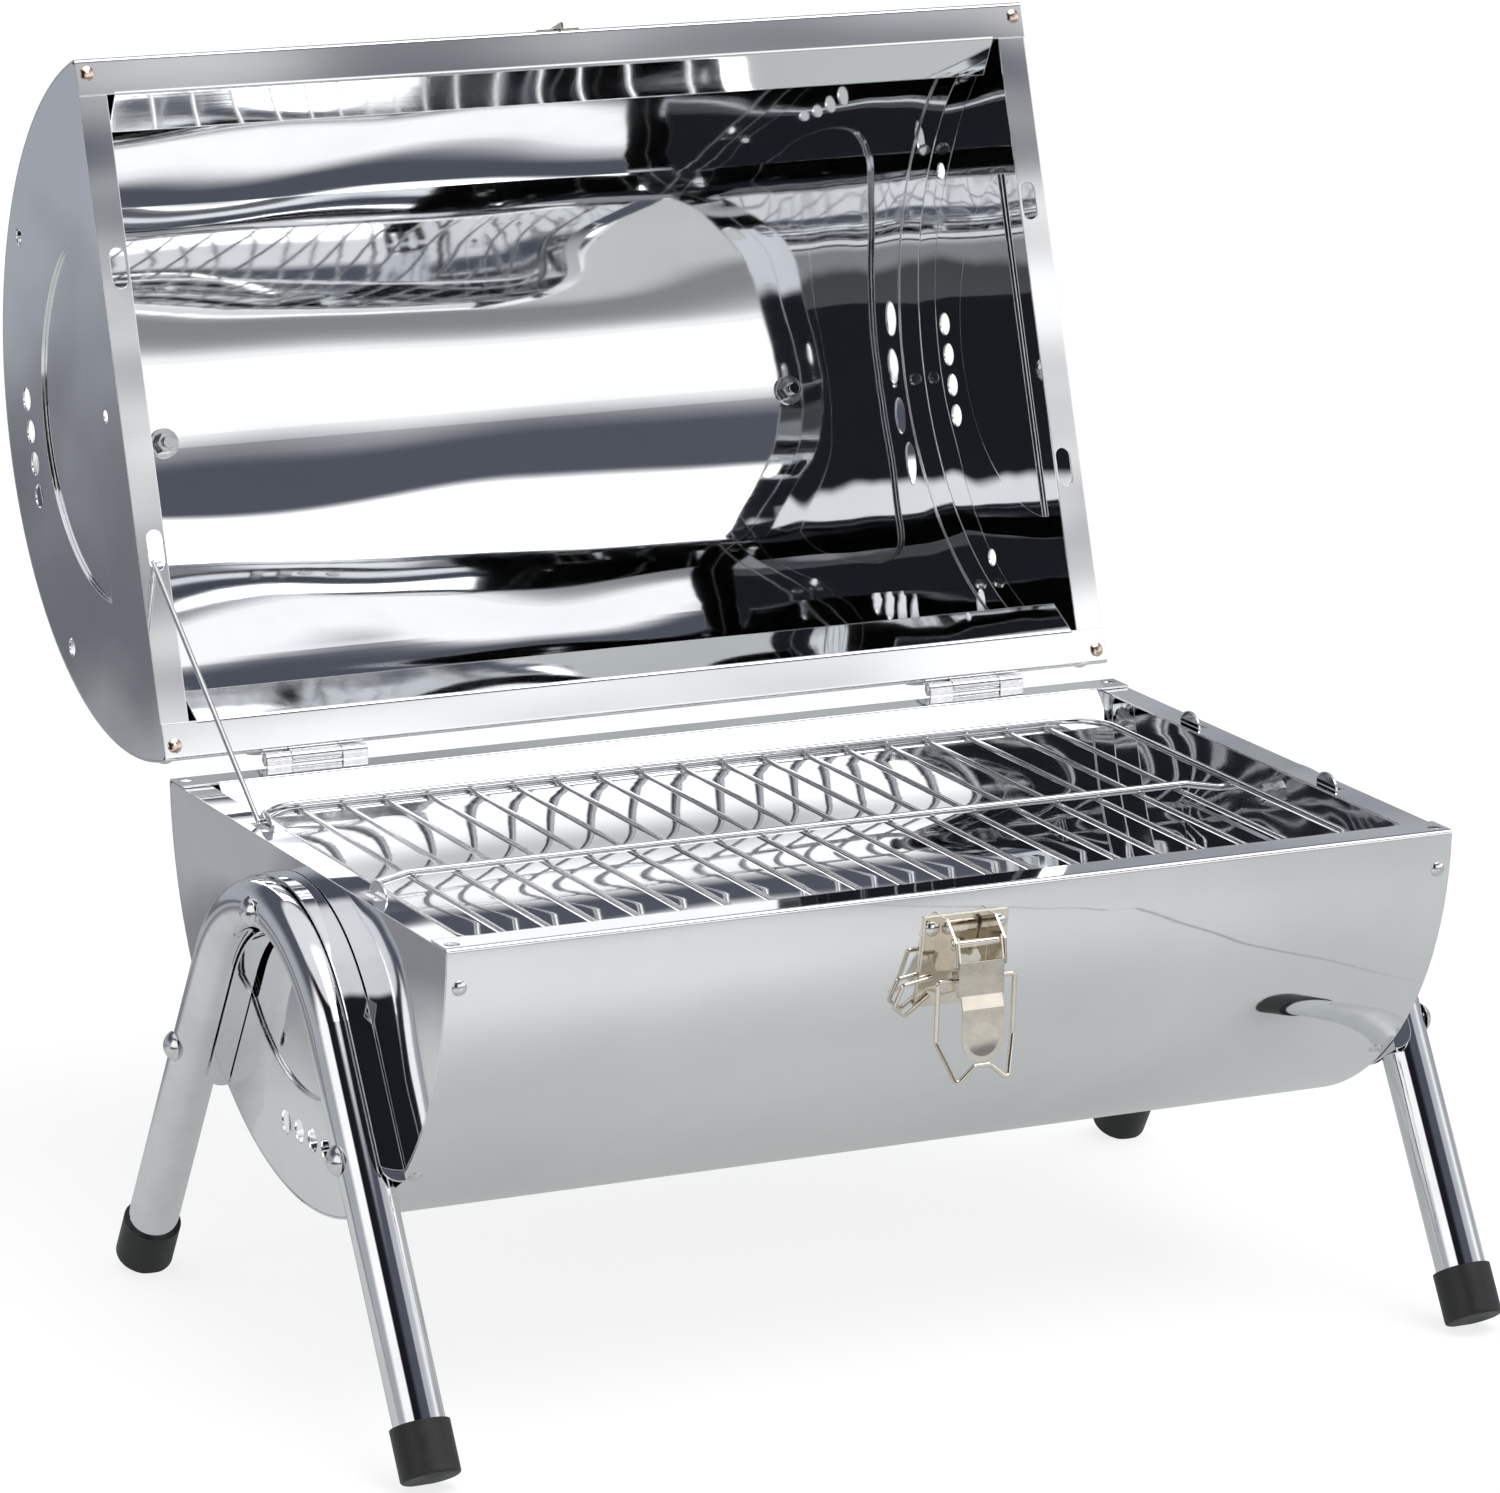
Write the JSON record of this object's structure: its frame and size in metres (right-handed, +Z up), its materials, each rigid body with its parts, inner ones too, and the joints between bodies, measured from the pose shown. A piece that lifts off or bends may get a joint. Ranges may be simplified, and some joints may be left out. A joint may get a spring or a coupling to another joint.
{
  "type": "folding camp grill",
  "caption": "Folding tabletop charcoal grill: hinged half-round polished steel bowl and lid, wire cooking grate, toggle latch, lid stay and bent-tube folding legs.",
  "frame": {"origin": "on the floor under the middle of the open grill's outline, 98.7 mm behind the middle of the bowl", "axes": "+Z up, +X along the barrel, -Y the front with the latch, +Y the back with the lid hinges"},
  "size_m": [0.4706, 0.513, 0.4772],
  "materials": {
    "polished_sheet": "mirror-polished stainless sheet",
    "chrome_tube": "bright chrome plate",
    "plated_wire": "plated wire, bright",
    "nickel_hardware": "bright nickel plate, slightly warm",
    "bright_fasteners": "bright",
    "coppered_rivets": "bright with a coppery tint",
    "black_rubber": "satin black"
  },
  "bodies": {
    "bowl": {"bowl_shell": "polished_sheet", "bowl_end_left": "polished_sheet", "bowl_end_right": "polished_sheet", "bowl_wall_rivets": "bright_fasteners", "bowl_corner_rivets": "bright_fasteners", "hinge_bowl_leaf_left": "nickel_hardware", "hinge_bowl_leaf_right": "nickel_hardware", "hinge_bowl_rivets": "bright_fasteners", "hinge_pins": "nickel_hardware", "latch_base": "nickel_hardware", "latch_rivets": "bright_fasteners", "latch_pin": "nickel_hardware", "latch_side_loop": "nickel_hardware", "leg_pivot_bolts": "bright_fasteners", "leg_pivot_washers": "bright_fasteners", "leg_pivot_nuts": "bright_fasteners"},
    "lid": {"lid_shell": "polished_sheet", "lid_end_left": "polished_sheet", "lid_end_right": "polished_sheet", "lid_wall_rivets": "bright_fasteners", "lid_corner_rivets": "coppered_rivets", "hinge_lid_leaf_left": "nickel_hardware", "hinge_lid_leaf_right": "nickel_hardware", "hinge_lid_rivets": "bright_fasteners", "latch_strike": "nickel_hardware", "latch_strike_rivets": "bright_fasteners", "lid_handle": "chrome_tube", "handle_washers": "bright_fasteners", "handle_nuts": "bright_fasteners"},
    "stay": {"lid_stay": "plated_wire"},
    "left_leg": {"left_leg_tube": "chrome_tube", "left_leg_saddle": "chrome_tube", "left_leg_caps": "black_rubber", "left_leg_screws": "bright_fasteners"},
    "right_leg": {"right_leg_tube": "chrome_tube", "right_leg_saddle": "chrome_tube", "right_leg_caps": "black_rubber", "right_leg_screws": "bright_fasteners"},
    "grate": {"grate_frame": "plated_wire", "grate_bars": "plated_wire", "grate_middle_wire": "plated_wire"},
    "latch_lever_body": {"latch_lever": "nickel_hardware"},
    "latch_bail_body": {"latch_bail": "nickel_hardware"}
  },
  "joints": [
    {"name": "lid_hinge", "type": "hinge", "parent": "bowl", "child": "lid", "pos_m": [0, 0.0445, 0.205], "axis": [1, 0, 0], "range_deg": [0, 108.3]},
    {"name": "stay_fold", "type": "hinge", "parent": "bowl", "child": "stay", "pos_m": [-0.204, -0.0387, 0.203], "axis": [1, 0, 0], "range_deg": [0, 144]},
    {"name": "left_leg_fold", "type": "hinge", "parent": "bowl", "child": "left_leg", "pos_m": [-0.2215, -0.0987, 0.1851], "axis": [1, 0, 0], "range_deg": [-180, 0]},
    {"name": "right_leg_fold", "type": "hinge", "parent": "bowl", "child": "right_leg", "pos_m": [0.2215, -0.0987, 0.1851], "axis": [1, 0, 0], "range_deg": [-180, 0]},
    {"name": "grate_lift", "type": "slide", "parent": "bowl", "child": "grate", "axis": [0, 0, 1], "range_m": [0, 0.015]},
    {"name": "latch_lever", "type": "hinge", "parent": "bowl", "child": "latch_lever_body", "pos_m": [0, -0.2489, 0.1841], "axis": [1, 0, 0], "range_deg": [-120, 0]},
    {"name": "latch_bail", "type": "hinge", "parent": "latch_lever_body", "child": "latch_bail_body", "pos_m": [0, -0.2479, 0.1701], "axis": [1, 0, 0], "range_deg": [-50, 0]}
  ],
  "couplings": [
    {"joint": "stay_fold", "follows": "lid_hinge", "ratio": 1.3289}
  ]
}
